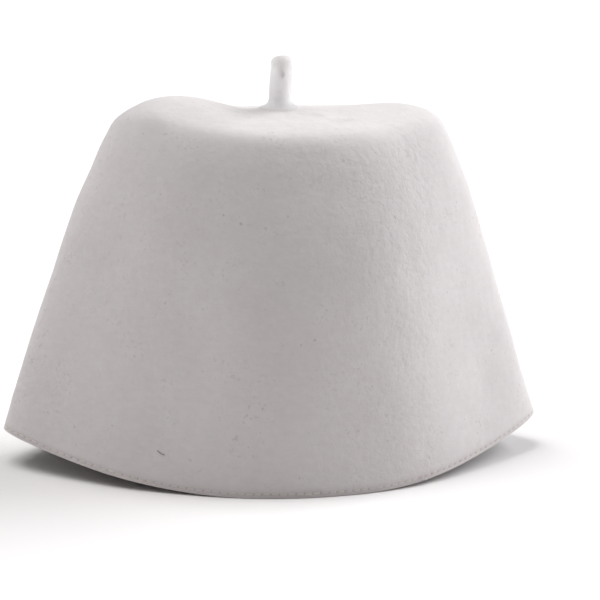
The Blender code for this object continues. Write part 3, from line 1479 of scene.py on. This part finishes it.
@dataclass(frozen=True)
class RimStitches:
    """The row of lockstitches along the rim, with the needle thread outside and the bobbin thread inside.

    Args:
        form: the main form.
        stitching: where the row lies.
        ends: loose ends on the outside.
        ply_radius: radius of one ply of the thread, in millimetres.
        turns: twists of the two plies in one stitch.
        steps: rings along one stitch.
        sides: sides of one ply.
        seed: number that picks how unevenly the stitches lie.
        wander: how unevenly they lie, in millimetres.
        reach: shares of a stitch's length at which its thread comes out and goes in.
        depth: how far the thread's middle lies in the felt, in millimetres.
        dive: how far deeper it goes at a hole.
        dive_reach: share of the stitch over which it dives.
        dive_power: how suddenly it dives.
    """

    form: CapForm
    stitching: Stitching = STITCHING
    ends: tuple[ThreadEnd, ...] = THREAD_ENDS
    ply_radius: float = 0.13
    turns: float = 1.5
    steps: int = 14
    sides: int = 6
    seed: int = 17
    wander: float = 0.11
    reach: tuple[float, float] = (0.06, 0.94)
    depth: float = 0.1
    dive: float = 0.7
    dive_reach: float = 0.26
    dive_power: float = 1.6

    def build(self) -> list[bpy.types.Object]:
        """Build both threads.

        Returns:
            The outer row and the inner row.
        """
        thread = CottonThread().material()
        rows = (("needle_thread", Side.OUTSIDE), ("bobbin_thread", Side.INSIDE))
        return [self.row(name, side, thread) for name, side in rows]

    def row(self, name: str, side: Side, thread: bpy.types.Material) -> bpy.types.Object:
        """Build one row of stitches as one piece.

        Args:
            name: the piece's name.
            side: which face of the felt it lies on.
            thread: its finish.

        Returns:
            The row.
        """
        jitter = np.random.default_rng(self.seed + side.value)
        rim = np.append(self.form.even_angles(self.stitching.count * COLUMNS_PER_STITCH), math.tau)
        rope = Rope(self.ply_radius, self.turns, self.sides)
        for stitch in range(self.stitching.count):
            slant, rise = jitter.normal(0.0, self.wander, 2)
            along = np.linspace(*self.reach, self.steps)
            angles = np.interp((stitch + along) * COLUMNS_PER_STITCH, np.arange(len(rim)), rim)
            rope.lay(*self.path(along, angles, side, slant, rise))
        if side is Side.OUTSIDE:
            for end in self.ends:
                rope.lay(*self.end_path(end))
        return rope.finished(name, thread)

    def path(
        self, along: np.ndarray, angles: np.ndarray, side: Side, slant: float, rise: float
    ) -> tuple[np.ndarray, np.ndarray]:
        """Middle line of one stitch, from hole to hole, with the direction out of the felt.

        Args:
            along: places in the stitch, as shares of its length.
            angles: angle round the oval at each place.
            side: which face of the felt it lies on.
            slant: difference in height between its two ends, in millimetres.
            rise: how far it lies off the row's line, in millimetres.

        Returns:
            The line's points and the outward direction at each.
        """
        heights = self.stitching.row_height + slant * (along - 0.5) + rise * np.sin(math.pi * along)
        skin, out = self.form.on_wall(heights, angles, side)
        nearest = np.minimum(along, 1.0 - along)
        sink = np.maximum(1.0 - nearest / self.dive_reach, 0.0) ** self.dive_power
        return skin + out * (-self.depth - self.dive * sink)[:, None], out

    def end_path(self, end: ThreadEnd) -> tuple[np.ndarray, np.ndarray]:
        """Middle line of one loose end, from its needle hole down over the edge.

        Args:
            end: the loose end.

        Returns:
            The line's points and the outward direction at each.
        """
        along = np.linspace(0.0, 1.0, end.steps)
        angles = np.radians(end.angle + end.drift * along)
        heights = self.stitching.row_height + end.above - end.length * along
        skin, out = self.form.on_wall(np.maximum(heights, end.lowest), angles, Side.OUTSIDE)
        skin[:, 2] += np.minimum(heights - end.lowest, 0.0)
        bow = end.lift * np.sin(math.pi * np.minimum(along * 1.1, 1.0))
        lift = bow - end.tucked * (1.0 - along) ** 4
        return skin + out * (end.off + lift)[:, None], out


@dataclass(frozen=True)
class StrayHair:
    """One coarse dark hair felted into the front of the wall, low on the left.

    Args:
        form: the main form.
        heights: heights of its line above the cut edge, in millimetres.
        angles: angles of its line round the oval, in degrees.
        strand_radius: half of the thickness of each of its two strands, in millimetres.
        turns: how often its strands twist.
        sides: sides of one strand.
        steps: points along its line.
        lift: how far its middle stands off the felt, in millimetres.
        dive: how far its ends go in from there.
    """

    form: CapForm
    heights: tuple[float, ...] = (15.9, 15.3, 14.8, 14.5, 14.4)
    angles: tuple[float, ...] = (239.2, 239.6, 240.1, 240.6, 241.0)
    strand_radius: float = 0.078
    turns: float = 0.8
    sides: int = 5
    steps: int = 13
    lift: float = 0.22
    dive: float = 0.3

    def build(self) -> bpy.types.Object:
        """Build the hair and dress it.

        Returns:
            The hair.
        """
        share = np.linspace(0.0, 1.0, len(self.heights))
        fine = np.linspace(0.0, 1.0, self.steps)
        heights = np.interp(fine, share, self.heights)
        angles = np.radians(np.interp(fine, share, self.angles))
        skin, out = self.form.on_wall(heights, angles, Side.OUTSIDE)
        lift = self.lift - self.dive * np.abs(2.0 * fine - 1.0) ** 3
        rope = Rope(self.strand_radius, self.turns, self.sides)
        rope.lay(skin + out * lift[:, None], out)
        return rope.finished("coarse_hair", CoarseHair().material())


@dataclass(frozen=True)
class Softbox:
    """One square soft light that faces the cap.

    Args:
        name: the light's name.
        colour: sRGB hex colour of its light.
        azimuth: degrees round from the camera's own side, toward its right.
        elevation: degrees above the floor.
        size: side of the light, in metres.
        power: power in watts.
    """

    name: str
    colour: str
    azimuth: float
    elevation: float
    size: float
    power: float


# The key lights the right end, the top light the crown and the left, and the fill the left wall
SOFTBOXES = (
    Softbox("key_light", "#fcfeff", 115.0, 30.0, 3.4, 215.0),
    Softbox("top_light", "#ffffff", -100.0, 70.0, 2.8, 114.0),
    Softbox("left_fill", "#ffffff", -80.0, 32.0, 2.4, 27.0),
)


@dataclass(frozen=True)
class Studio:
    """Pale floor, soft lights and the camera, all outside the object.

    Args:
        azimuth: degrees that the camera stands round from the front, toward -X when below zero.
        elevation: degrees that the camera stands above its aim.
        roll: degrees that the camera leans.
        distance: metres from the aim to the camera.
        aim_right: metres that the aim lies right of the cap's middle, as the camera sees it.
        aim_height: metres that the aim lies above the floor.
        focal_pixels: focal length in pixels of the frame.
        frame_pixels: width of the frame in pixels.
        sensor_mm: width of the camera's sensor.
        softbox_distance: metres from the cap to each soft light.
        world_colour: sRGB hex colour of the even light from all round.
        world_strength: strength of that light.
        floor_half: half of the floor's side, in metres.
        camera_reach: how far the camera sees, in metres.
    """

    azimuth: float = -11.86
    elevation: float = 14.0
    roll: float = 1.35
    distance: float = 1.25
    aim_right: float = 0.01046
    aim_height: float = 0.06954
    focal_pixels: float = 2864.0
    frame_pixels: float = 600.0
    sensor_mm: float = 36.0
    softbox_distance: float = 4.0
    world_colour: str = "#fbfafa"
    world_strength: float = 0.055
    floor_half: float = 4.0
    camera_reach: float = 50.0

    def build(self) -> None:
        """Set up the world, the floor, the lights and the camera."""
        view = bpy.context.scene.view_settings
        view.view_transform = "Standard"
        view.look = "None"
        self.world()
        self.floor()
        self.camera()
        for light in SOFTBOXES:
            self.hang(light)

    def world(self) -> None:
        """Even white surroundings."""
        world = bpy.data.worlds.new("white_studio")
        world.use_nodes = True
        background = world.node_tree.nodes["Background"]
        background.inputs["Color"].default_value = srgb(self.world_colour)
        background.inputs["Strength"].default_value = self.world_strength
        bpy.context.scene.world = world

    def floor(self) -> None:
        """A wide plain pale floor."""
        half = self.floor_half
        mesh = bpy.data.meshes.new("pale_floor")
        corners = [(-half, -half, 0.0), (half, -half, 0.0), (half, half, 0.0), (-half, half, 0.0)]
        mesh.from_pydata(corners, [], [(0, 1, 2, 3)])
        mesh.materials.append(MattWhiteBoard().material())
        floor = bpy.data.objects.new("pale_floor", mesh)
        bpy.context.scene.collection.objects.link(floor)

    def camera(self) -> None:
        """The camera at the photograph's viewing angle."""
        turn, rise = math.radians(self.azimuth), math.radians(self.elevation)
        right = Vector((math.cos(turn), math.sin(turn), 0.0))
        ahead = Vector((-math.sin(turn) * math.cos(rise), math.cos(turn) * math.cos(rise), -math.sin(rise)))
        up = right.cross(ahead)
        aim = right * self.aim_right + Vector((0.0, 0.0, self.aim_height))
        lean = math.radians(self.roll)
        side = right * math.cos(lean) + up * math.sin(lean)
        top = up * math.cos(lean) - right * math.sin(lean)
        data = bpy.data.cameras.new("photo_camera")
        data.sensor_width = self.sensor_mm
        data.lens = self.sensor_mm * self.focal_pixels / self.frame_pixels
        data.clip_end = self.camera_reach
        camera = bpy.data.objects.new("photo_camera", data)
        turned = Matrix((side, top, -ahead)).transposed().to_4x4()
        camera.matrix_world = Matrix.Translation(aim - ahead * self.distance) @ turned
        bpy.context.scene.collection.objects.link(camera)
        bpy.context.scene.camera = camera

    def hang(self, softbox: Softbox) -> None:
        """Hang one soft light so that it faces the middle of the cap.

        Args:
            softbox: the light.
        """
        turn, rise = math.radians(self.azimuth + softbox.azimuth), math.radians(softbox.elevation)
        away = Vector((math.sin(turn) * math.cos(rise), -math.cos(turn) * math.cos(rise), math.sin(rise)))
        data = bpy.data.lights.new(softbox.name, "AREA")
        data.size = softbox.size
        data.energy = softbox.power
        data.color = srgb(softbox.colour)[:3]
        light = bpy.data.objects.new(softbox.name, data)
        middle = Vector((0.0, 0.0, 0.5 * CROWN_HEIGHT * MM))
        facing = away.to_track_quat("Z", "Y").to_matrix().to_4x4()
        light.matrix_world = Matrix.Translation(middle + away * self.softbox_distance) @ facing
        bpy.context.scene.collection.objects.link(light)


def main() -> None:
    """Build the cap, its stitches and the studio, in that order."""
    logging.basicConfig(level=logging.INFO, format="%(name)s: %(message)s")
    form = CapForm()
    pieces = [FeltCap(form).build(), *RimStitches(form).build(), StrayHair(form).build()]
    for piece in pieces:
        LOG.info("%s: %d points", piece.name, len(piece.data.vertices))
    Studio().build()


if __name__ == "__main__":
    main()
